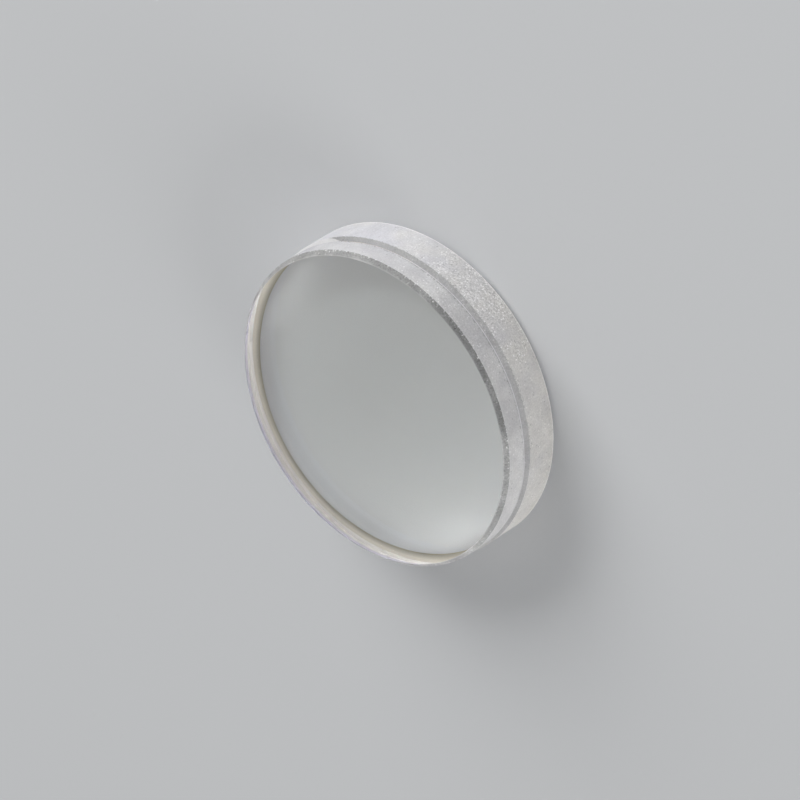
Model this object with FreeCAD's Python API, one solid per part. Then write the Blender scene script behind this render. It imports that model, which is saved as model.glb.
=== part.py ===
import FreeCAD, Part
import math
import os

# A cemented achromatic doublet lens, 25.4 mm across, about 90 mm in focal length.
# A convex crown glass element is cemented into a hollow flint glass element.
# Both rims and all bevels are fine ground, the faces that light passes through are polished.
# The optical axis is +Z. The lens lies on its rear seat at Z = 0, convex front face up.

# Rims, in millimetres
LENS_DIAMETER = 25.4          # rear element, the rim that a lens cell is bored for
FRONT_RIM_STEP = 0.15         # how far the front element's rim stands inside the rear one's
FRONT_EDGE_LENGTH = 2.16      # front element, from the edge of one polished face to the other
REAR_EDGE_LENGTH = 3.27       # rear element, from its seat to the edge of its hollow front face

# Curves, as radii of the polished faces
FRONT_RADIUS = 33.5           # convex front face
JOINT_RADIUS = 65.6           # cemented joint, bulging to the rear
REAR_RADIUS = 300.0           # faintly hollow rear face

# Ground bevels, all at 45 degrees, as their width along the radius
FRONT_BEVEL = 0.33            # front element, round its convex face
INNER_BEVEL = 0.25            # front element, at the joint
JOINT_BEVEL = 0.28            # rear element, at the joint
REAR_BEVEL = 0.28             # rear element, round its seat

# Flat ground seat round the hollow rear face
SEAT_WIDTH = 0.82

# Cement between the two glasses, and the bead of it at the foot of the groove
CEMENT_THICKNESS = 0.04
BEAD_WIDTH = 0.09             # how far the bead reaches out over the rear element
BEAD_HEIGHT = 0.05            # how far it climbs the front element's inner bevel

# Glass left on a blank past its finished faces, before they are ground
GRINDING_SPARE = 0.5

ORIGIN = FreeCAD.Vector(0, 0, 0)
OPTICAL_AXIS = FreeCAD.Vector(0, 0, 1)
SIDEWAYS = FreeCAD.Vector(1, 0, 0)


def rise(radius, reach):
    """How far a spherical face departs from its vertex plane at a distance from the axis."""
    return radius - math.sqrt(radius * radius - reach * reach)


def turned(corners):
    """Solid turned about the optical axis from a straight-sided half section."""
    points = [FreeCAD.Vector(reach, 0, height) for reach, height in corners]
    section = Part.Face(Part.makePolygon(points + points[:1]))
    return section.revolve(ORIGIN, OPTICAL_AXIS, 360)


def ball_below(vertex, radius):
    """Ball that reaches up to a height on the axis. Its poles are sideways and its seam is at the far end."""
    return Part.makeSphere(radius, OPTICAL_AXIS * (vertex - radius), -SIDEWAYS)


def ball_above(vertex, radius):
    """Ball that reaches down to a height on the axis, laid out in the same way."""
    return Part.makeSphere(radius, OPTICAL_AXIS * (vertex + radius), SIDEWAYS)


# Rims and the edges of the polished faces, as distances from the axis
rear_rim = LENS_DIAMETER / 2
front_rim = rear_rim - FRONT_RIM_STEP
front_face_edge = front_rim - FRONT_BEVEL
front_joint_edge = front_rim - INNER_BEVEL
rear_joint_edge = rear_rim - JOINT_BEVEL
seat_outer = rear_rim - REAR_BEVEL
seat_inner = seat_outer - SEAT_WIDTH

# The joint's two spherical faces share one centre, a cement thickness apart
inner_joint_radius = JOINT_RADIUS - CEMENT_THICKNESS
rear_joint_vertex = REAR_EDGE_LENGTH - rise(JOINT_RADIUS, rear_joint_edge)
front_joint_vertex = rear_joint_vertex + CEMENT_THICKNESS
front_joint_height = front_joint_vertex + rise(inner_joint_radius, front_joint_edge)

# Heights of the outer faces
rear_vertex = rise(REAR_RADIUS, seat_inner)
front_edge_height = front_joint_height + FRONT_EDGE_LENGTH
front_vertex = front_edge_height + rise(FRONT_RADIUS, front_face_edge)


def front_crown_element():
    """Bevelled blank, ground convex on both sides. The blank's 45 degree sides end above and below the glass."""
    rim_low = front_joint_height + INNER_BEVEL
    rim_high = front_edge_height - FRONT_BEVEL
    low = front_joint_vertex - GRINDING_SPARE
    high = front_vertex + GRINDING_SPARE
    blank = turned([
        (0, low),
        (front_rim - (rim_low - low), low),
        (front_rim, rim_low),
        (front_rim, rim_high),
        (front_rim - (high - rim_high), high),
        (0, high),
    ])
    domed = blank.common(ball_below(front_vertex, FRONT_RADIUS))
    return domed.common(ball_above(front_joint_vertex, inner_joint_radius)).Solids[0]


def rear_flint_element():
    """Bevelled blank, ground hollow for the joint and faintly hollow behind, which leaves the flat seat."""
    rim_high = REAR_EDGE_LENGTH - JOINT_BEVEL
    high = REAR_EDGE_LENGTH + GRINDING_SPARE
    blank = turned([
        (0, 0),
        (seat_outer, 0),
        (rear_rim, REAR_BEVEL),
        (rear_rim, rim_high),
        (rear_rim - (high - rim_high), high),
        (0, high),
    ])
    hollowed = blank.cut(ball_above(rear_joint_vertex, JOINT_RADIUS))
    return hollowed.cut(ball_below(rear_vertex, REAR_RADIUS)).Solids[0]


def cement_layer(front_element):
    """Shell of clear cement that fills the joint, up to the bead's sloping free surface in the groove."""
    foot_reach = front_joint_edge + BEAD_WIDTH
    foot_height = rear_joint_vertex + rise(JOINT_RADIUS, foot_reach)
    crest_height = front_joint_height + BEAD_HEIGHT
    slope = (BEAD_WIDTH - BEAD_HEIGHT) / (crest_height - foot_height)
    low = rear_joint_vertex - GRINDING_SPARE
    poured = turned([
        (0, low),
        (foot_reach + slope * (foot_height - low), low),
        (foot_reach - slope * GRINDING_SPARE, foot_height + GRINDING_SPARE),
        (0, foot_height + GRINDING_SPARE),
    ])
    return poured.common(ball_above(rear_joint_vertex, JOINT_RADIUS)).cut(front_element).Solids[0]


front_element = front_crown_element()
pieces = {
    "front_crown_element": front_element,
    "cement_layer": cement_layer(front_element),
    "rear_flint_element": rear_flint_element(),
}

os.makedirs("parts", exist_ok=True)
for name, shape in pieces.items():
    shape.exportStep(f"parts/{name}.step")
    print(f"{name}: {shape.ShapeType}, valid {shape.isValid()}, {shape.Volume:.2f} mm3")
print(f"centre thickness: front {front_vertex - front_joint_vertex:.2f}, "
      f"rear {rear_joint_vertex - rear_vertex:.2f}, whole height {front_vertex:.2f}")
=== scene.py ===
import math

import bpy
from mathutils import Matrix, Vector


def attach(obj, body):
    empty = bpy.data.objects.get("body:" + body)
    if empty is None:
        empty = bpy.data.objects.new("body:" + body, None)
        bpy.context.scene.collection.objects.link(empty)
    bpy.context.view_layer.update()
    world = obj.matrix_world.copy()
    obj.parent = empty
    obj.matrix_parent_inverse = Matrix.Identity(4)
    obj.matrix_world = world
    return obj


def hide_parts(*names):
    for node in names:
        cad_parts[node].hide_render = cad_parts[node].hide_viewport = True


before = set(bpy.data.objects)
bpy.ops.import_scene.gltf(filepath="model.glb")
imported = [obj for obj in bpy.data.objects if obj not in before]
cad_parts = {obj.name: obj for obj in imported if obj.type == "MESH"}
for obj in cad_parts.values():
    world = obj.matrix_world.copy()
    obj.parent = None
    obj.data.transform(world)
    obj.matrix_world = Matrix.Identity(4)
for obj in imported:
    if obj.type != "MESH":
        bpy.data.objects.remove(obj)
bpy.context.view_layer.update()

# A cemented achromatic doublet lens lying on its ground seat, convex front face up.
# Each of the three pieces is turned from its half section, face by face, so that every
# face is a true sphere, cone or cylinder and has the finish that the optician gave it.

MM = 0.001

# Sizes of the half sections, in millimetres, as distances from the optical axis
REAR_RIM = 12.70
FRONT_RIM = 12.55
FRONT_FACE_EDGE = 12.22
FRONT_JOINT_EDGE = 12.30
REAR_JOINT_EDGE = 12.42
SEAT_OUTER = 12.42
SEAT_INNER = 11.60
BEAD_CREST = 12.35
BEAD_FOOT = 12.39
FILM_FOOT = 12.385

# Curves of the polished faces
FRONT_RADIUS = 33.5
JOINT_RADIUS = 65.6
REAR_RADIUS = 300.0

# Lengths along the optical axis
FRONT_EDGE_LENGTH = 2.16
REAR_EDGE_LENGTH = 3.27
FRONT_BEVEL = 0.33
INNER_BEVEL = 0.25
JOINT_BEVEL = 0.28
REAR_BEVEL = 0.28
BEAD_HEIGHT = 0.05
CEMENT_THICKNESS = 0.04

# Air left between the cement's faces and the glass, so that no two faces coincide
HAIR_GAP = 0.003

# Small chips along the ground edges. They lie on one side, given as an angle from +X.
CHIP_DEPTH = 0.045
CHIP_REACH = 0.22
CHIP_SCALE = 5600.0
CHIP_SHARE = 0.49
CHIP_NARROWING = 0.17
CHIP_SHARPNESS = 14.0
CHIPPED_SIDE = 284.0
CHIPPED_RISE = 3.0
CHIPPED_START = 0.8

# Where the cement has run out into the groove: an angle from +X, a half width, a fade, all in degrees,
# and how full the groove is there, up to flush
FILLINGS = [
    (20.0, 34.0, 10.0, 1.0),
    (203.0, 4.0, 32.0, 0.3),
]

# Fineness of the turned meshes
SEGMENTS = 1200
FACE_RINGS = 22
REAR_FACE_RINGS = 16
FILM_RINGS = 18
WELD = 0.0005

# Edges that are shaded as crisp: on a corner, or bent by more than this many degrees
CORNER_MARK = 0.99
CRISP_BEND = 14.0

# Two face numbers this near to each other are the same
SAME_NUMBER = 0.1


def rise(radius, reach):
    """How far a spherical face departs from its vertex plane at a distance from the axis."""
    return radius - math.sqrt(radius * radius - reach * reach)


inner_joint_radius = JOINT_RADIUS - CEMENT_THICKNESS
rear_joint_vertex = REAR_EDGE_LENGTH - rise(JOINT_RADIUS, REAR_JOINT_EDGE)
front_joint_vertex = rear_joint_vertex + CEMENT_THICKNESS
front_joint_height = front_joint_vertex + rise(inner_joint_radius, FRONT_JOINT_EDGE)
front_edge_height = front_joint_height + FRONT_EDGE_LENGTH
front_vertex = front_edge_height + rise(FRONT_RADIUS, FRONT_FACE_EDGE)
rear_vertex = rise(REAR_RADIUS, SEAT_INNER)


# Helpers for node trees

def add(tree, kind, inputs=None, **options):
    """Adds a node, sets its options, and fills or links its inputs by name or number."""
    node = tree.nodes.new(kind)
    for option, value in options.items():
        setattr(node, option, value)
    for socket, value in (inputs or {}).items():
        if isinstance(value, bpy.types.NodeSocket):
            tree.links.new(value, node.inputs[socket])
        else:
            node.inputs[socket].default_value = value
    return node


def calculate(tree, operation, *values):
    """One sum as a node. Returns its result."""
    return add(tree, "ShaderNodeMath", dict(enumerate(values)), operation=operation).outputs[0]


def limit(tree, value):
    """Keeps a value between 0 and 1."""
    return add(tree, "ShaderNodeClamp", {"Value": value}).outputs[0]


def separate(tree, vector):
    """The X, Y and Z of a vector, as three outputs."""
    return add(tree, "ShaderNodeSeparateXYZ", {0: vector}).outputs


def start_tree(name, kind, inputs, outputs):
    """A node tree with named inputs and outputs. Returns it with its two end nodes."""
    tree = bpy.data.node_groups.new(name, kind)
    for label, socket_type, value in inputs:
        socket = tree.interface.new_socket(name=label, in_out="INPUT", socket_type=socket_type)
        if value is not None:
            socket.default_value = value
    for label, socket_type in outputs:
        tree.interface.new_socket(name=label, in_out="OUTPUT", socket_type=socket_type)
    return tree, tree.nodes.new("NodeGroupInput"), tree.nodes.new("NodeGroupOutput")


def broken_out(tree, place, scoop):
    """Where chips have broken out of an edge, from 0 to 1. They narrow away from it, as scoop falls."""
    noise = add(tree, "ShaderNodeTexNoise", {
        "Vector": place, "Scale": CHIP_SCALE, "Detail": 3.0, "Roughness": 0.65,
    }).outputs[0]
    away = calculate(tree, "SUBTRACT", 1.0, calculate(tree, "ABSOLUTE", scoop))
    enough = calculate(tree, "MULTIPLY_ADD", away, CHIP_NARROWING, 1.0 - CHIP_SHARE)
    over = calculate(tree, "SUBTRACT", noise, enough)
    return limit(tree, calculate(tree, "MULTIPLY", over, CHIP_SHARPNESS))


# Shapes, turned about the optical axis

def turned_face_tree():
    """One face of a body of revolution, from a start to an end circle, with a given curvature."""
    tree, given, result = start_tree("turned face", "GeometryNodeTree", [
        ("Start Corner", "NodeSocketVector", (0, 0, 0)),
        ("End Corner", "NodeSocketVector", (0, 0, 0)),
        ("Start Overflow", "NodeSocketVector", (0, 0, 0)),
        ("End Overflow", "NodeSocketVector", (0, 0, 0)),
        ("Start Chipping", "NodeSocketFloat", 0.0),
        ("End Chipping", "NodeSocketFloat", 0.0),
        ("Start Line", "NodeSocketFloat", 0.0),
        ("End Line", "NodeSocketFloat", 0.0),
        ("Curvature", "NodeSocketFloat", 0.0),
        ("Lean", "NodeSocketFloat", 0.0),
        ("Squeeze", "NodeSocketFloat", 0.0),
        ("Rings", "NodeSocketInt", 1),
        ("Segments", "NodeSocketInt", SEGMENTS),
        ("Number", "NodeSocketInt", 0),
        ("Chip Reach", "NodeSocketFloat", CHIP_REACH * MM),
    ], [("Face", "NodeSocketGeometry")])
    value = given.outputs
    grid = add(tree, "GeometryNodeMeshGrid", {
        "Size X": 1.0,
        "Size Y": 1.0,
        "Vertices X": calculate(tree, "ADD", value["Rings"], 1.0),
        "Vertices Y": calculate(tree, "ADD", value["Segments"], 1.0),
    })
    place = separate(tree, add(tree, "GeometryNodeInputPosition").outputs[0])
    along = calculate(tree, "ADD", place["X"], 0.5)
    angle = calculate(tree, "MULTIPLY_ADD", place["Y"], math.tau, math.pi)

    # Rings crowd towards the end circle by Lean, or the start where it is negative, and to both by Squeeze
    half_wave = calculate(tree, "SINE", calculate(tree, "MULTIPLY", along, math.pi))
    full_wave = calculate(tree, "SINE", calculate(tree, "MULTIPLY", along, math.tau))
    half_wave = calculate(tree, "DIVIDE", half_wave, math.pi)
    full_wave = calculate(tree, "DIVIDE", full_wave, math.tau)
    leaning = calculate(tree, "MULTIPLY", value["Lean"], half_wave)
    squeezing = calculate(tree, "MULTIPLY", value["Squeeze"], full_wave)
    share = calculate(tree, "SUBTRACT", calculate(tree, "ADD", along, leaning), squeezing)

    def between(start, end):
        return add(tree, "ShaderNodeMix", {"Factor": share, 2: start, 3: end}).outputs[0]

    def sag(reach):
        bent = calculate(tree, "MULTIPLY", value["Curvature"], reach)
        slope = calculate(tree, "SUBTRACT", 1.0, calculate(tree, "MULTIPLY", bent, bent))
        whole = calculate(tree, "ADD", calculate(tree, "SQRT", slope), 1.0)
        return calculate(tree, "DIVIDE", calculate(tree, "MULTIPLY", bent, reach), whole)

    start = separate(tree, value["Start Corner"])
    end = separate(tree, value["End Corner"])
    reach = between(start["X"], end["X"])
    chord = between(sag(start["X"]), sag(end["X"]))
    straight = between(start["Z"], end["Z"])
    height = calculate(tree, "ADD", straight, calculate(tree, "SUBTRACT", sag(reach), chord))

    # On the filled sides, cement stands further out of the groove
    filled = 0.0
    for middle, half_width, fade, fullness in FILLINGS:
        near_side = calculate(tree, "COSINE", calculate(tree, "SUBTRACT", angle, math.radians(middle)))
        filling = add(tree, "ShaderNodeMapRange", {
            "Value": near_side,
            "From Min": math.cos(math.radians(half_width + fade)),
            "From Max": math.cos(math.radians(half_width)),
            "To Max": fullness,
        }, interpolation_type="SMOOTHSTEP").outputs[0]
        filled = calculate(tree, "ADD", filling, filled)
    start_over = separate(tree, value["Start Overflow"])
    end_over = separate(tree, value["End Overflow"])
    reach = calculate(tree, "MULTIPLY_ADD", between(start_over["X"], end_over["X"]), filled, reach)
    height = calculate(tree, "MULTIPLY_ADD", between(start_over["Z"], end_over["Z"]), filled, height)
    turned = add(tree, "ShaderNodeCombineXYZ", {
        "X": calculate(tree, "MULTIPLY", reach, calculate(tree, "COSINE", angle)),
        "Y": calculate(tree, "MULTIPLY", reach, calculate(tree, "SINE", angle)),
        "Z": height,
    })

    # Marks on the mesh: the face's number, how near its edges are, and where chips and painted highlight
    # lines may be
    width = add(tree, "ShaderNodeVectorMath", {
        0: value["Start Corner"],
        1: value["End Corner"],
    }, operation="DISTANCE").outputs["Value"]

    def nearness(share_away):
        away = calculate(tree, "MULTIPLY", share_away, width)
        away = calculate(tree, "DIVIDE", away, value["Chip Reach"])
        return limit(tree, calculate(tree, "SUBTRACT", 1.0, away))

    near_start = nearness(share)
    near_end = nearness(calculate(tree, "SUBTRACT", 1.0, share))

    def near_corners(part):
        at_start = calculate(tree, "MULTIPLY", near_start, value[f"Start {part}"])
        return calculate(tree, "MULTIPLY_ADD", near_end, value[f"End {part}"], at_start)

    from_chips = calculate(tree, "SUBTRACT", angle, math.radians(CHIPPED_SIDE))
    chipped_side = calculate(
        tree, "MULTIPLY_ADD", calculate(tree, "COSINE", from_chips), CHIPPED_RISE, -CHIPPED_START)
    chippable = calculate(tree, "MULTIPLY", near_corners("Chipping"), limit(tree, chipped_side))
    marked = grid.outputs["Mesh"]
    for label, mark, data_type, domain in [
        ("face", value["Number"], "INT", "FACE"),
        ("edge", calculate(tree, "MAXIMUM", near_start, near_end), "FLOAT", "POINT"),
        ("scoop", chippable, "FLOAT", "POINT"),
        ("line", near_corners("Line"), "FLOAT", "POINT"),
    ]:
        marked = add(tree, "GeometryNodeStoreNamedAttribute", {
            "Geometry": marked,
            "Name": label,
            "Value": mark,
        }, data_type=data_type, domain=domain).outputs[0]
    placed = add(tree, "GeometryNodeSetPosition", {"Geometry": marked, "Position": turned.outputs[0]})
    tree.links.new(placed.outputs[0], result.inputs["Face"])
    return tree


def named_value(tree, name, data_type="FLOAT"):
    """A mark that the turned faces carry."""
    return add(tree, "GeometryNodeInputNamedAttribute", {"Name": name}, data_type=data_type).outputs[0]


def element_tree(name, corners, faces, turned_face):
    """A whole piece: its faces from each corner of the half section to the next, welded and chipped."""
    inputs = []
    for corner in corners:
        inputs.append((f"{corner} Corner", "NodeSocketVector", (0, 0, 0)))
        inputs.append((f"{corner} Overflow", "NodeSocketVector", (0, 0, 0)))
        inputs.append((f"{corner} Chipping", "NodeSocketFloat", 0.0))
        inputs.append((f"{corner} Line", "NodeSocketFloat", 0.0))
    for face in faces:
        inputs.append((f"{face} Curvature", "NodeSocketFloat", 0.0))
        inputs.append((f"{face} Lean", "NodeSocketFloat", 0.0))
        inputs.append((f"{face} Squeeze", "NodeSocketFloat", 0.0))
        inputs.append((f"{face} Rings", "NodeSocketInt", 1))
        inputs.append((f"{face} Finish", "NodeSocketMaterial", None))
    inputs.append(("Segments", "NodeSocketInt", SEGMENTS))
    inputs.append(("Chip Reach", "NodeSocketFloat", CHIP_REACH * MM))
    inputs.append(("Chip Depth", "NodeSocketFloat", 0.0))
    outputs = [("Geometry", "NodeSocketGeometry")]
    tree, given, result = start_tree(name, "GeometryNodeTree", inputs, outputs)
    value = given.outputs
    whole = add(tree, "GeometryNodeJoinGeometry")
    for number, face in enumerate(faces):
        made = add(tree, "GeometryNodeGroup", {}, node_tree=turned_face)
        for part in ("Corner", "Overflow", "Chipping", "Line"):
            tree.links.new(value[f"{corners[number]} {part}"], made.inputs[f"Start {part}"])
            tree.links.new(value[f"{corners[number + 1]} {part}"], made.inputs[f"End {part}"])
        for part in ("Curvature", "Lean", "Squeeze", "Rings"):
            tree.links.new(value[f"{face} {part}"], made.inputs[part])
        for part in ("Segments", "Chip Reach"):
            tree.links.new(value[part], made.inputs[part])
        made.inputs["Number"].default_value = number
        tree.links.new(made.outputs[0], whole.inputs[0])
    welded = add(tree, "GeometryNodeMergeByDistance", {
        "Geometry": whole.outputs[0],
        "Distance": WELD * MM,
    })

    # Small chips are broken out of the ground edges, each a shallow scoop
    scoop = named_value(tree, "scoop")
    chip = broken_out(tree, add(tree, "GeometryNodeInputPosition").outputs[0], scoop)
    chip = calculate(tree, "MULTIPLY", chip, calculate(tree, "ABSOLUTE", scoop))
    depth = calculate(tree, "MULTIPLY", chip, value["Chip Depth"])
    inward = add(tree, "ShaderNodeVectorMath", {
        0: add(tree, "GeometryNodeInputNormal").outputs[0],
        "Scale": calculate(tree, "MULTIPLY", depth, -1.0),
    }, operation="SCALE")
    chipped = add(tree, "GeometryNodeSetPosition", {
        "Geometry": welded.outputs[0],
        "Offset": inward.outputs[0],
    })

    # Faces are smooth in themselves, and crisp along their corners and round each chip
    smooth = add(tree, "GeometryNodeSetShadeSmooth", {
        "Geometry": chipped.outputs[0],
        "Shade Smooth": True,
    })
    bend = add(tree, "GeometryNodeInputMeshEdgeAngle").outputs["Unsigned Angle"]
    crisp = calculate(
        tree, "MAXIMUM",
        calculate(tree, "GREATER_THAN", named_value(tree, "edge"), CORNER_MARK),
        calculate(tree, "GREATER_THAN", bend, math.radians(CRISP_BEND)))
    sharp = add(tree, "GeometryNodeSetShadeSmooth", {
        "Geometry": smooth.outputs[0],
        "Selection": crisp,
        "Shade Smooth": False,
    }, domain="EDGE")
    finished = add(tree, "GeometryNodeRealizeInstances", {"Geometry": sharp.outputs[0]}).outputs[0]
    which = named_value(tree, "face", "INT")
    for number, face in enumerate(faces):
        finished = add(tree, "GeometryNodeSetMaterial", {
            "Geometry": finished,
            "Selection": calculate(tree, "COMPARE", which, float(number), SAME_NUMBER),
            "Material": value[f"{face} Finish"],
        }).outputs[0]
    tree.links.new(finished, result.inputs["Geometry"])
    return tree


# How rings are spaced over a face, as its lean and its squeeze
EVENLY = (0.0, 0.0)
TO_END = (0.85, 0.0)
TO_START = (-0.85, 0.0)
TO_BOTH = (0.0, 0.8)


def corner(reach, height, chipping=0.0, line=0.0, overflow=(0.0, 0.0)):
    """A corner of a half section, in millimetres: how readily it chips, how strong the painted highlight
    along it is, and how far cement overflows there. Chipping is negative where the chips get a painted
    shade, beside the groove.
    """
    return {
        "Corner": (reach * MM, 0.0, height * MM),
        "Overflow": (overflow[0] * MM, 0.0, overflow[1] * MM),
        "Chipping": chipping,
        "Line": line,
    }


def face(finish, radius=None, spacing=EVENLY, rings=1):
    """A face between two corners. Its radius is positive where it curves upwards, and a cone has none."""
    return {
        "Curvature": 1 / (radius * MM) if radius else 0.0,
        "Lean": spacing[0],
        "Squeeze": spacing[1],
        "Rings": rings,
        "Finish": finish,
    }


def turn_piece(name, node, corners, faces, turned_face):
    """Turns one piece from its half section, listed from the top of the axis round the rim downwards."""
    tree = element_tree(name, list(corners), list(faces), turned_face)
    sizes = {
        "Segments": SEGMENTS,
        "Chip Reach": CHIP_REACH * MM,
        "Chip Depth": CHIP_DEPTH * MM,
    }
    for place, parts in {**corners, **faces}.items():
        for part, value in parts.items():
            sizes[f"{place} {part}"] = value
    blank = bpy.data.objects.new(f"{name}_blank", bpy.data.meshes.new(f"{name}_blank"))
    bpy.context.scene.collection.objects.link(blank)
    turning = blank.modifiers.new("turning", "NODES")
    turning.node_group = tree
    for item in tree.interface.items_tree:
        if item.in_out == "INPUT":
            turning[item.identifier] = sizes[item.name]
    bpy.context.view_layer.update()
    evaluated = blank.evaluated_get(bpy.context.evaluated_depsgraph_get())
    mesh = bpy.data.meshes.new_from_object(evaluated)
    mesh.name = name
    bpy.data.objects.remove(blank)
    piece = bpy.data.objects.new(name, mesh)
    bpy.context.scene.collection.objects.link(piece)
    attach(piece, "root")
    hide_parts(node)
    return piece


# Effects that several finishes share

# Fine ground glass: sizes of its patterns per metre, and how strongly each one shows
CLOUD_SCALE = 700.0
TINT_SCALE = 330.0
TINT_CONTRAST = 2.0
CELLS_PER_GRAIN = 0.8
GRAIN_WIDTH = 0.4
# Grains past GLINT_LIMIT get a painted glint in their colour
GLINT_LIMIT = 0.92
GLINT_GLOW = 0.5
DARK_GRAIN_SHADE = 0.3
ROUGHNESS_CHANGE = 0.3
# The painted highlight along a corner falls off this steeply
LINE_FALL = 4.0
WHITEST = 0.97

# The coarse side: where it starts as the cosine of the angle away from its middle, how steeply, how raggedly
COARSE_START = 0.90
COARSE_RISE = 12.0
COARSE_RAGGEDNESS = 5.0
# The coarse side gets more grains with a painted glint, and brighter ones
COARSE_GLINTS = 0.25
COARSE_GLOW = 0.6
COARSE_RELIEF = 1.2
COARSE_SHADE = 0.1

# The side with painted shade, in the same way
PAINTED_SHADE_START = 0.82
PAINTED_SHADE_RISE = 8.0

# Dust and haze on polished glass
DUST_SCALE = 700.0
DUST_LIMIT = 0.93
SPECK_WIDTH = 0.05
HAZE_SCALE = 160.0


def from_middle(tree, value):
    """How far a noise lies above or below its middle."""
    return calculate(tree, "SUBTRACT", value, 0.5)


def off_axis(tree, place):
    """A place without its height, which is its vector from the optical axis."""
    return add(tree, "ShaderNodeVectorMath", {0: place, 1: (1.0, 1.0, 0.0)}, operation="MULTIPLY").outputs[0]


def toward(tree, outward, direction):
    """How squarely a direction out from the axis points to a side, as a cosine."""
    product = add(tree, "ShaderNodeVectorMath", {0: outward, 1: direction}, operation="DOT_PRODUCT")
    return product.outputs["Value"]


def fine_ground_group():
    """Fine ground glass: grain, clouds, a coarser side with more grains that get a painted glint, a side
    with painted light, a side with painted shade, and chips.
    """
    tree, given, result = start_tree("fine ground glass", "ShaderNodeTree", [
        ("Colour", "NodeSocketColor", (0.7, 0.7, 0.7, 1)),
        ("Cloud Colour", "NodeSocketColor", (0.7, 0.7, 0.7, 1)),
        ("Grain Size", "NodeSocketFloat", 9000.0),
        ("Grain", "NodeSocketFloat", 0.3),
        ("Clouds", "NodeSocketFloat", 0.1),
        ("Glints", "NodeSocketFloat", 0.2),
        ("Dark Grains", "NodeSocketFloat", 0.0),
        ("Coarse Side", "NodeSocketVector", (0, 0, 0)),
        ("Coarse Grain", "NodeSocketFloat", 0.0),
        ("Chip Light", "NodeSocketFloat", 0.4),
        ("Chip Shade", "NodeSocketFloat", 0.0),
        ("Edge Light", "NodeSocketFloat", 0.0),
        ("Cloudy Side", "NodeSocketVector", (0, 0, 0)),
        ("Clear Side", "NodeSocketVector", (0, 0, 0)),
        ("Clearness", "NodeSocketFloat", 0.0),
        ("Roughness", "NodeSocketFloat", 0.55),
    ], [
        ("Colour", "NodeSocketColor"),
        ("Roughness", "NodeSocketFloat"),
        ("Height", "NodeSocketFloat"),
    ])
    value = given.outputs
    place = add(tree, "ShaderNodeTexCoord").outputs["Object"]
    grain = add(tree, "ShaderNodeTexNoise", {
        "Vector": place, "Scale": value["Grain Size"], "Detail": 3.0, "Roughness": 0.65,
    }).outputs[0]
    clouds = add(tree, "ShaderNodeTexNoise", {
        "Vector": place, "Scale": CLOUD_SCALE, "Detail": 4.0, "Roughness": 0.6,
    }).outputs[0]
    tints = add(tree, "ShaderNodeTexNoise", {
        "Vector": place, "Scale": TINT_SCALE, "Detail": 2.0, "Roughness": 0.6,
    }).outputs[0]

    # The side that was ground more coarsely, with a ragged limit
    outward = add(tree, "ShaderNodeVectorMath", {0: off_axis(tree, place)}, operation="NORMALIZE").outputs[0]
    within = calculate(tree, "SUBTRACT", toward(tree, outward, value["Coarse Side"]), COARSE_START)
    within = calculate(tree, "MULTIPLY", within, COARSE_RISE)
    ragged = calculate(tree, "MULTIPLY", from_middle(tree, clouds), COARSE_RAGGEDNESS)
    coarse = limit(tree, calculate(tree, "ADD", within, ragged))
    coarse = calculate(tree, "MULTIPLY", coarse, value["Coarse Grain"])

    # Single grains with a painted glint, more of them where it is coarse, and single grains that look dark
    cells = add(tree, "ShaderNodeTexVoronoi", {
        "Vector": place, "Scale": calculate(tree, "MULTIPLY", value["Grain Size"], CELLS_PER_GRAIN),
    })
    pick = add(tree, "ShaderNodeSeparateColor", {0: cells.outputs["Color"]}).outputs[0]
    enough = calculate(tree, "MULTIPLY_ADD", coarse, -COARSE_GLINTS, GLINT_LIMIT)
    bright = calculate(tree, "GREATER_THAN", pick, enough)
    near = calculate(tree, "LESS_THAN", cells.outputs["Distance"], GRAIN_WIDTH)
    strength = calculate(tree, "MULTIPLY_ADD", coarse, COARSE_GLOW, value["Glints"])
    glint = calculate(tree, "MULTIPLY", calculate(tree, "MULTIPLY", bright, near), strength)
    dark = calculate(tree, "LESS_THAN", pick, value["Dark Grains"])
    dark_grain = calculate(tree, "MULTIPLY", dark, near)

    # Chips, pale with a painted glint or dark with a painted shade beside the groove, and the painted
    # highlight along a corner
    scoop = add(tree, "ShaderNodeAttribute", attribute_name="scoop").outputs["Fac"]
    chip = broken_out(tree, place, scoop)
    pale_chip = calculate(tree, "MULTIPLY", chip, calculate(tree, "GREATER_THAN", scoop, 0.0))
    dark_chip = calculate(tree, "MULTIPLY", chip, calculate(tree, "LESS_THAN", scoop, 0.0))
    line = add(tree, "ShaderNodeAttribute", attribute_name="line").outputs["Fac"]
    line = calculate(tree, "POWER", line, LINE_FALL)

    # How light the glass is, as a share of its colour
    depth = calculate(tree, "MULTIPLY_ADD", coarse, COARSE_RELIEF, value["Grain"])
    grain_change = calculate(tree, "MULTIPLY", from_middle(tree, grain), depth)
    cloud_change = calculate(tree, "MULTIPLY", from_middle(tree, clouds), value["Clouds"])
    level = calculate(tree, "ADD", calculate(tree, "ADD", grain_change, cloud_change), 1.0)
    level = calculate(tree, "MULTIPLY_ADD", coarse, -COARSE_SHADE, calculate(tree, "ADD", level, glint))
    level = calculate(tree, "MULTIPLY_ADD", dark_grain, -DARK_GRAIN_SHADE, level)
    level = calculate(tree, "MULTIPLY_ADD", pale_chip, value["Chip Light"], level)
    level = calculate(tree, "MULTIPLY_ADD", line, value["Edge Light"], level)
    kept = calculate(tree, "SUBTRACT", 1.0, calculate(tree, "MULTIPLY", dark_chip, value["Chip Shade"]))
    level = calculate(tree, "MULTIPLY", level, kept)

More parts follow.
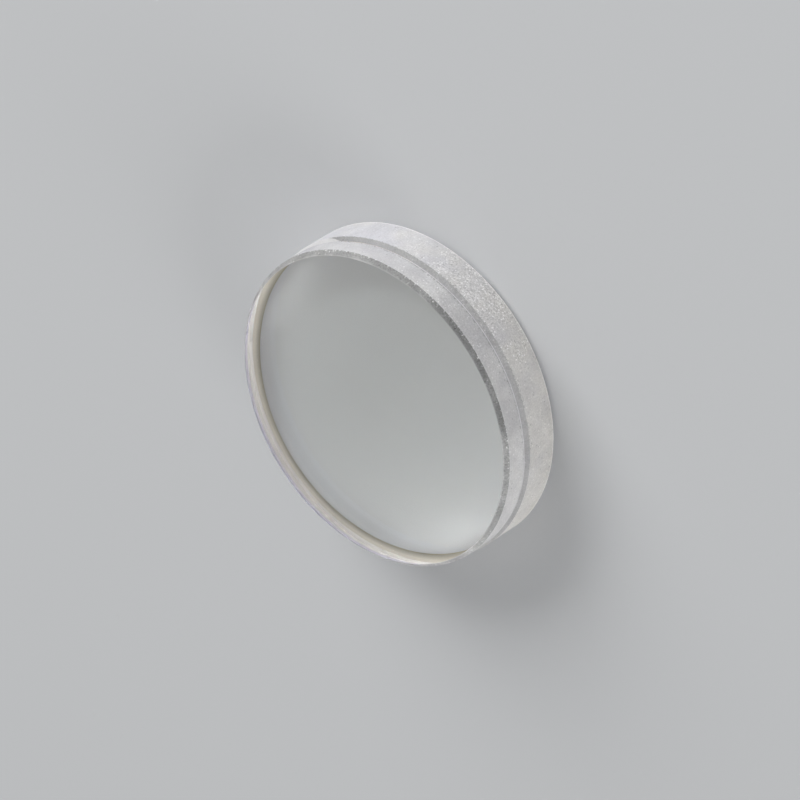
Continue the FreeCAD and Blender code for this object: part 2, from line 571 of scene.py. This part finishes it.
    # Painted shade: the glass is darker towards one side
    beyond = calculate(tree, "SUBTRACT", toward(tree, outward, value["Clear Side"]), PAINTED_SHADE_START)
    clear = limit(tree, calculate(tree, "MULTIPLY", beyond, PAINTED_SHADE_RISE))
    clear = calculate(tree, "MULTIPLY", clear, value["Clearness"])
    level = calculate(tree, "MULTIPLY", level, calculate(tree, "SUBTRACT", 1.0, clear))

    # The colour goes in patches from one tint to the other, with more of the other as painted light on one
    # side
    patchy = calculate(tree, "MULTIPLY_ADD", from_middle(tree, tints), TINT_CONTRAST, 0.5)
    aside = toward(tree, outward, value["Cloudy Side"])
    base = add(tree, "ShaderNodeMix", {
        "Factor": limit(tree, calculate(tree, "ADD", patchy, aside)),
        "A": value["Colour"],
        "B": value["Cloud Colour"],
    }, data_type="RGBA").outputs["Result"]
    scaled = add(tree, "ShaderNodeVectorMath", {0: base, "Scale": level}, operation="SCALE").outputs[0]
    limited = add(tree, "ShaderNodeVectorMath", {
        0: scaled,
        1: (WHITEST, WHITEST, WHITEST),
    }, operation="MINIMUM").outputs[0]
    tree.links.new(limited, result.inputs["Colour"])
    rough = calculate(tree, "MULTIPLY_ADD", grain_change, ROUGHNESS_CHANGE, value["Roughness"])
    tree.links.new(rough, result.inputs["Roughness"])
    tree.links.new(calculate(tree, "MULTIPLY_ADD", glint, GLINT_GLOW, grain), result.inputs["Height"])
    return tree


def settled_dust_group():
    """Polished glass after handling: hair-fine dust and a breath of haze, as a roughness."""
    tree, given, result = start_tree("settled dust", "ShaderNodeTree", [
        ("Dust", "NodeSocketFloat", 0.05),
        ("Haze", "NodeSocketFloat", 0.01),
    ], [
        ("Roughness", "NodeSocketFloat"),
    ])
    value = given.outputs
    place = add(tree, "ShaderNodeTexCoord").outputs["Object"]
    cells = add(tree, "ShaderNodeTexVoronoi", {"Vector": place, "Scale": DUST_SCALE})
    pick = add(tree, "ShaderNodeSeparateColor", {0: cells.outputs["Color"]}).outputs[0]
    rare = calculate(tree, "GREATER_THAN", pick, DUST_LIMIT)
    small = calculate(tree, "LESS_THAN", cells.outputs["Distance"], SPECK_WIDTH)
    speck = calculate(tree, "MULTIPLY", rare, small)
    smear = add(tree, "ShaderNodeTexNoise", {"Vector": place, "Scale": HAZE_SCALE, "Detail": 2.0}).outputs[0]
    smear = calculate(tree, "MAXIMUM", from_middle(tree, smear), 0.0)
    haze = calculate(tree, "MULTIPLY", smear, value["Haze"])
    rough = calculate(tree, "MULTIPLY_ADD", speck, value["Dust"], haze)
    tree.links.new(rough, result.inputs["Roughness"])
    return tree


# Finishes

CROWN_IOR = 1.517
FLINT_IOR = 1.673
CEMENT_IOR = 1.56
NO_BENDING = 1.0

# The coating, in nanometres
COATING_THICKNESS = 100.0
COATING_IOR = 1.38

# Under a half, so that a ground face looks like a white surface that glows, and not like a window
GROUND_TRANSMISSION = 0.49

# How strong and how deep the ground glass's relief is
RELIEF = 0.35
RELIEF_DEPTH = 0.01


def ground_finish(name, group, colour, inside, ior, **values):
    """A ground face: grainy from the air, and from inside the glass an even painted glow in a colour of its
    own, which wets the grain.
    """
    material = bpy.data.materials.new(name)
    material.use_nodes = True
    tree = material.node_tree
    shader = tree.nodes["Principled BSDF"]
    grind = add(tree, "ShaderNodeGroup", {}, node_tree=group)
    grind.inputs["Colour"].default_value = (*colour, 1)
    for label, value in values.items():
        grind.inputs[label.replace("_", " ").title()].default_value = value
    # From inside the glass the face shows its inside colour, a painted glow
    from_glass = add(tree, "ShaderNodeNewGeometry").outputs["Backfacing"]
    shown = add(tree, "ShaderNodeMix", {
        "Factor": from_glass,
        "A": grind.outputs["Colour"],
        "B": (*inside, 1),
    }, data_type="RGBA")
    shown.name = "air or glass side"
    relief = add(tree, "ShaderNodeBump", {
        "Height": grind.outputs["Height"],
        "Strength": calculate(tree, "MULTIPLY_ADD", from_glass, -RELIEF, RELIEF),
        "Distance": RELIEF_DEPTH * MM,
    })
    tree.links.new(shown.outputs["Result"], shader.inputs["Base Color"])
    tree.links.new(grind.outputs["Roughness"], shader.inputs["Roughness"])
    tree.links.new(relief.outputs[0], shader.inputs["Normal"])
    shader.inputs["Transmission Weight"].default_value = GROUND_TRANSMISSION
    shader.inputs["IOR"].default_value = ior
    return material


def fade_inside(material, inner_reach, inner_colour, outer_reach, outer_colour):
    """Gives a ring another colour towards the axis than at its rim, as seen through the glass."""
    tree = material.node_tree
    flat = off_axis(tree, add(tree, "ShaderNodeTexCoord").outputs["Object"])
    reach = add(tree, "ShaderNodeVectorMath", {0: flat}, operation="LENGTH").outputs["Value"]
    across = add(tree, "ShaderNodeMapRange", {
        "Value": reach,
        "From Min": inner_reach * MM,
        "From Max": outer_reach * MM,
    }).outputs[0]
    faded = add(tree, "ShaderNodeMix", {
        "Factor": across,
        "A": (*inner_colour, 1),
        "B": (*outer_colour, 1),
    }, data_type="RGBA")
    tree.links.new(faded.outputs["Result"], tree.nodes["air or glass side"].inputs["B"])


def polished_finish(name, group, colour, ior, dust=0.0, haze=0.0, coated=False):
    """A polished face of clear glass, with an anti-reflection coat where it meets the air."""
    material = bpy.data.materials.new(name)
    material.use_nodes = True
    tree = material.node_tree
    shader = tree.nodes["Principled BSDF"]
    wear = add(tree, "ShaderNodeGroup", {"Dust": dust, "Haze": haze}, node_tree=group)
    tree.links.new(wear.outputs["Roughness"], shader.inputs["Roughness"])
    shader.inputs["Base Color"].default_value = (*colour, 1)
    shader.inputs["Transmission Weight"].default_value = 1.0
    shader.inputs["IOR"].default_value = ior
    if coated:
        shader.inputs["Thin Film Thickness"].default_value = COATING_THICKNESS
        shader.inputs["Thin Film IOR"].default_value = COATING_IOR
    return material


def side(angle, strength=1.0):
    """The side of the rim at an angle from +X, as a vector."""
    return (strength * math.cos(math.radians(angle)), strength * math.sin(math.radians(angle)), 0.0)


# Where the rims were ground more coarsely
COARSE_SIDE = side(284)

ground = fine_ground_group()
dusty = settled_dust_group()
crown_front = polished_finish(
    "crown_polished", dusty, (0.985, 0.995, 0.99), CROWN_IOR, dust=0.25, haze=0.02, coated=True)
crown_joint = polished_finish("crown_cemented_face", dusty, (1.0, 1.0, 1.0), NO_BENDING)
film = polished_finish("cement_film_face", dusty, (1.0, 0.998, 0.99), NO_BENDING)
flint_joint = polished_finish("flint_cemented_face", dusty, (1.0, 1.0, 1.0), FLINT_IOR / CROWN_IOR)
flint_clear = polished_finish(
    "flint_polished", dusty, (0.99, 0.99, 0.97), FLINT_IOR, dust=0.25, haze=0.02, coated=True)

# The front bevel's dark colour is a painted shade; it gets painted light on one side, a deeper painted shade
# on another, and pale chips with a painted glint
front_bevel = ground_finish(
    "crown_ground_bevel", ground, (0.20, 0.20, 0.195), (0.60, 0.62, 0.80), CROWN_IOR,
    cloud_colour=(0.55, 0.55, 0.54, 1), cloudy_side=side(120, 0.5), clear_side=side(268),
    clearness=0.34, grain_size=7500.0, grain=2.2, clouds=0.6, glints=0.8, dark_grains=0.15,
    chip_light=4.0, edge_light=1.0, roughness=0.6)
# The crown rim gets painted light on one side, painted shade on another, and chips with a painted shade
# beside the groove
crown_rim = ground_finish(
    "crown_ground_rim", ground, (0.60, 0.60, 0.618), (0.76, 0.745, 0.90), CROWN_IOR,
    cloud_colour=(0.76, 0.76, 0.75, 1), cloudy_side=side(210, 0.6), clear_side=side(262),
    clearness=0.2, grain_size=8000.0, grain=0.7, clouds=0.6, glints=0.25, dark_grains=0.02,
    coarse_side=COARSE_SIDE, coarse_grain=0.3, chip_light=0.45, chip_shade=0.36, roughness=0.58)
# The groove's dark colour is a painted shade between the two elements, with painted light on one side
groove = ground_finish(
    "groove_ground", ground, (0.30, 0.30, 0.297), (0.86, 0.845, 0.93), CROWN_IOR,
    cloud_colour=(0.415, 0.415, 0.408, 1), cloudy_side=side(200), grain_size=8000.0, grain=1.0,
    clouds=0.7, glints=0.2, dark_grains=0.03, coarse_side=COARSE_SIDE, coarse_grain=0.4,
    chip_light=0.0, roughness=0.55)
bead = ground_finish(
    "cement_bead_dulled", ground, (0.70, 0.695, 0.70), (0.95, 0.94, 0.9), CEMENT_IOR,
    cloud_colour=(0.72, 0.715, 0.71, 1), grain_size=8000.0, grain=0.6, clouds=0.5, glints=0.1,
    roughness=0.55)
# The flint rim gets painted light on one side, painted shade on another, chips with a painted shade beside
# the groove, and a painted highlight along its rear corner
flint_rim = ground_finish(
    "flint_ground_rim", ground, (0.655, 0.658, 0.695), (1.0, 0.985, 0.96), FLINT_IOR,
    cloud_colour=(0.765, 0.757, 0.722, 1), cloudy_side=side(200, 0.6), clear_side=side(243),
    clearness=0.15, grain_size=7500.0, grain=0.8, clouds=0.6, glints=0.25, dark_grains=0.035,
    coarse_side=COARSE_SIDE, coarse_grain=1.0, chip_shade=0.42, edge_light=0.7, roughness=0.55)
# The rear bevel has a faint painted highlight along its corner
rear_bevel = ground_finish(
    "flint_ground_bevel", ground, (0.76, 0.76, 0.80), (1.0, 0.98, 0.93), FLINT_IOR,
    cloud_colour=(0.76, 0.76, 0.78, 1), grain_size=9000.0, grain=0.5, clouds=0.2, glints=0.1,
    edge_light=0.25, roughness=0.6)

# Through the glass, the seat has a painted glow at its rim and a painted olive shade towards the axis
SEAT_GLOW = (1.0, 0.95, 0.80)
SEAT_SHADE = (0.16, 0.14, 0.05)
SEAT_FADE = 0.55
seat = ground_finish(
    "flint_ground_seat", ground, (0.70, 0.695, 0.68), SEAT_GLOW, FLINT_IOR,
    cloud_colour=(0.71, 0.70, 0.68, 1), grain_size=9000.0, grain=0.6, clouds=0.4, glints=0.1,
    roughness=0.6)
fade_inside(seat, SEAT_INNER, SEAT_SHADE, SEAT_INNER + SEAT_FADE, SEAT_GLOW)

# The three pieces, from the top of the axis round the rim to the bottom
turned_face = turned_face_tree()

turn_piece("front_element_glass", "front_crown_element", {
    "Front Vertex": corner(0.0, front_vertex),
    "Front Face Edge": corner(FRONT_FACE_EDGE, front_edge_height, line=1.0),
    "Rim Front": corner(FRONT_RIM, front_edge_height - FRONT_BEVEL, chipping=0.8),
    "Rim Rear": corner(FRONT_RIM, front_joint_height + INNER_BEVEL, chipping=-1.3),
    "Joint Edge": corner(FRONT_JOINT_EDGE, front_joint_height),
    "Joint Vertex": corner(0.0, front_joint_vertex),
}, {
    "Front Face": face(crown_front, -FRONT_RADIUS, TO_END, FACE_RINGS),
    "Front Bevel": face(front_bevel, spacing=TO_BOTH, rings=6),
    "Rim": face(crown_rim, spacing=TO_BOTH, rings=12),
    "Inner Bevel": face(groove, spacing=TO_BOTH, rings=5),
    "Joint Face": face(crown_joint, inner_joint_radius, TO_START, FACE_RINGS),
}, turned_face)

film_top = front_joint_vertex - HAIR_GAP
film_top_radius = inner_joint_radius + HAIR_GAP
film_bottom = rear_joint_vertex + HAIR_GAP
film_bottom_radius = JOINT_RADIUS - HAIR_GAP
crest_height = front_joint_height + BEAD_HEIGHT - HAIR_GAP
foot_height = film_bottom + rise(film_bottom_radius, BEAD_FOOT)
film_foot_height = film_bottom + rise(film_bottom_radius, FILM_FOOT)

# Filled flush, the bead runs from the front element's rim to the rear one's, over the joint bevel
crest_overflow = (FRONT_RIM - BEAD_CREST, front_joint_height + INNER_BEVEL - crest_height)
foot_overflow = (REAR_RIM - BEAD_FOOT, REAR_EDGE_LENGTH - JOINT_BEVEL - foot_height)
film_foot_overflow = (REAR_JOINT_EDGE - FILM_FOOT, REAR_EDGE_LENGTH + HAIR_GAP - film_foot_height)

turn_piece("cement_film", "cement_layer", {
    "Top Vertex": corner(0.0, film_top),
    "Film Edge": corner(FRONT_JOINT_EDGE, film_top + rise(film_top_radius, FRONT_JOINT_EDGE)),
    "Bead Crest": corner(BEAD_CREST, crest_height, overflow=crest_overflow),
    "Bead Foot": corner(BEAD_FOOT, foot_height, overflow=foot_overflow),
    "Film Foot": corner(FILM_FOOT, film_foot_height, overflow=film_foot_overflow),
    "Bottom Vertex": corner(0.0, film_bottom),
}, {
    "Top Face": face(film, film_top_radius, TO_END, FILM_RINGS),
    "Bead Seat": face(film),
    "Bead": face(bead, rings=3),
    "Bead Base": face(film),
    "Bottom Face": face(film, film_bottom_radius, TO_START, FILM_RINGS),
}, turned_face)

turn_piece("rear_element_glass", "rear_flint_element", {
    "Joint Vertex": corner(0.0, rear_joint_vertex),
    "Cemented Edge": corner(BEAD_FOOT, rear_joint_vertex + rise(JOINT_RADIUS, BEAD_FOOT)),
    "Joint Edge": corner(REAR_JOINT_EDGE, REAR_EDGE_LENGTH),
    "Rim Front": corner(REAR_RIM, REAR_EDGE_LENGTH - JOINT_BEVEL, chipping=-1.3),
    "Rim Rear": corner(REAR_RIM, REAR_BEVEL, chipping=0.4, line=1.0),
    "Seat Outer": corner(SEAT_OUTER, 0.0, chipping=0.4),
    "Seat Inner": corner(SEAT_INNER, 0.0),
    "Rear Vertex": corner(0.0, rear_vertex),
}, {
    "Joint Face": face(flint_joint, JOINT_RADIUS, TO_END, FACE_RINGS),
    "Clear Ring": face(flint_clear, JOINT_RADIUS),
    "Joint Bevel": face(groove, spacing=TO_BOTH, rings=5),
    "Rim": face(flint_rim, spacing=TO_BOTH, rings=14),
    "Rear Bevel": face(rear_bevel, spacing=TO_BOTH, rings=4),
    "Seat": face(seat, rings=4),
    "Rear Face": face(flint_clear, -REAR_RADIUS, TO_START, REAR_FACE_RINGS),
}, turned_face)


# Floor, light and camera

# In metres. The floor lies a hair below the seat, so that the two don't coincide.
FLOOR_HALF = 1.5
FLOOR_DROP = 0.00001

FLOOR_COLOUR = (0.485, 0.492, 0.50)
SKY_COLOUR = (0.99, 0.995, 1.0)
SKY_STRENGTH = 0.56

floor_mesh = bpy.data.meshes.new("floor")
floor_mesh.from_pydata([
    (-FLOOR_HALF, -FLOOR_HALF, 0),
    (FLOOR_HALF, -FLOOR_HALF, 0),
    (FLOOR_HALF, FLOOR_HALF, 0),
    (-FLOOR_HALF, FLOOR_HALF, 0),
], [], [(0, 1, 2, 3)])
floor_mesh.transform(Matrix.Translation((0, 0, -FLOOR_DROP)))
floor = bpy.data.objects.new("floor", floor_mesh)
bpy.context.scene.collection.objects.link(floor)
paper = bpy.data.materials.new("pale_floor")
paper.use_nodes = True
paper_shader = paper.node_tree.nodes["Principled BSDF"]
paper_shader.inputs["Base Color"].default_value = (*FLOOR_COLOUR, 1)
paper_shader.inputs["Roughness"].default_value = 0.9
paper_shader.inputs["Specular IOR Level"].default_value = 0.0
floor_mesh.materials.append(paper)

scene = bpy.context.scene
world = bpy.data.worlds.new("studio")
scene.world = world
world.use_nodes = True
sky = world.node_tree.nodes["Background"]
sky.inputs["Color"].default_value = (*SKY_COLOUR, 1)
sky.inputs["Strength"].default_value = SKY_STRENGTH

# The lights are aimed at the middle of the lens
target = Vector((0, 0, 3 * MM))


def softbox(name, direction, distance, size, power):
    """A square soft light that faces the lens."""
    lamp = bpy.data.lights.new(name, "AREA")
    lamp.shape = "SQUARE"
    lamp.size = size
    lamp.energy = power
    holder = bpy.data.objects.new(name, lamp)
    scene.collection.objects.link(holder)
    holder.location = target + Vector(direction).normalized() * distance
    holder.rotation_euler = (target - holder.location).to_track_quat("-Z", "Y").to_euler()


softbox("key_softbox", (0.94, -0.18, 0.38), distance=0.9, size=0.7, power=10.2)
softbox("fill_softbox", (-0.88, -0.32, 0.24), distance=0.9, size=0.45, power=3.6)

# The camera stands where the photograph was taken from, 48.9 degrees off the optical axis
CAMERA_RIGHT = Vector((-0.53059, -0.55738, -0.63859))
CAMERA_UP = Vector((0.84763, -0.34891, -0.39974))
CAMERA_BACK = Vector((0.0, -0.75339, 0.65758))
CAMERA_PLACE = Vector((-0.3943, -285.0799, 251.3899)) * MM

lens_camera = bpy.data.cameras.new("camera")
lens_camera.lens = 233.637
lens_camera.sensor_width = 36.0
lens_camera.clip_start = 0.01
lens_camera.clip_end = 20.0
camera = bpy.data.objects.new("camera", lens_camera)
scene.collection.objects.link(camera)
turn = Matrix((CAMERA_RIGHT, CAMERA_UP, CAMERA_BACK)).transposed()
camera.matrix_world = Matrix.Translation(CAMERA_PLACE) @ turn.to_4x4()
scene.camera = camera

scene.view_settings.view_transform = "Standard"

# Light goes down through six faces and back up through as many, and is passed round by the ground rims
scene.cycles.max_bounces = 64
scene.cycles.diffuse_bounces = 16
scene.cycles.glossy_bounces = 24
scene.cycles.transmission_bounces = 40
scene.cycles.blur_glossy = 0.0
